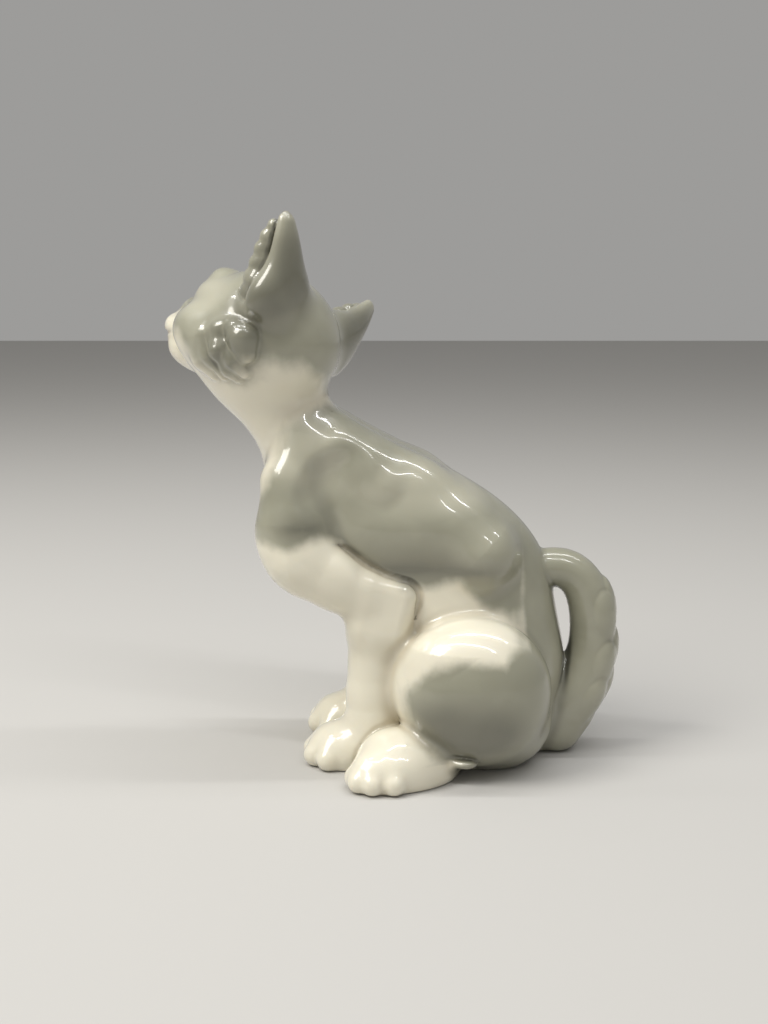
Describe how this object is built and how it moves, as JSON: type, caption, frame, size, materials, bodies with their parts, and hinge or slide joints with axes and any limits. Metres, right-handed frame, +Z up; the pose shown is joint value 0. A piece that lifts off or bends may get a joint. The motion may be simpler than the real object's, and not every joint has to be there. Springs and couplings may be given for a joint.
{
  "type": "cat figurine",
  "caption": "Seated glazed ceramic cat figurine, head raised and turned to one side, tail looped behind the back, with large cupped ears and spread toes.",
  "frame": {"origin": "middle of the base plate's underside, on the plane that the figurine stands on", "axes": "+Z up, -Y the way the body faces, +X the cat's left side"},
  "size_m": [0.1066, 0.1639, 0.1902],
  "materials": {
    "grey_glaze": "gloss, airbrushed warm grey under a clear glaze",
    "white_glaze": "gloss, ivory white under a clear glaze",
    "bisque": "matte, unglazed"
  },
  "bodies": {
    "root": {"body_casting": "grey_glaze", "base_plate": "bisque", "head_casting": "grey_glaze", "tail": "grey_glaze", "left_ear": "grey_glaze", "right_ear": "grey_glaze", "left_ear_tuft": "grey_glaze", "right_ear_tuft": "grey_glaze", "left_cheek_ruff": "grey_glaze", "right_cheek_ruff": "grey_glaze", "left_foreleg": "white_glaze", "right_foreleg": "white_glaze", "left_forepaw": "white_glaze", "right_forepaw": "white_glaze", "left_hind_paw": "white_glaze", "right_hind_paw": "white_glaze"}
  },
  "joints": []
}
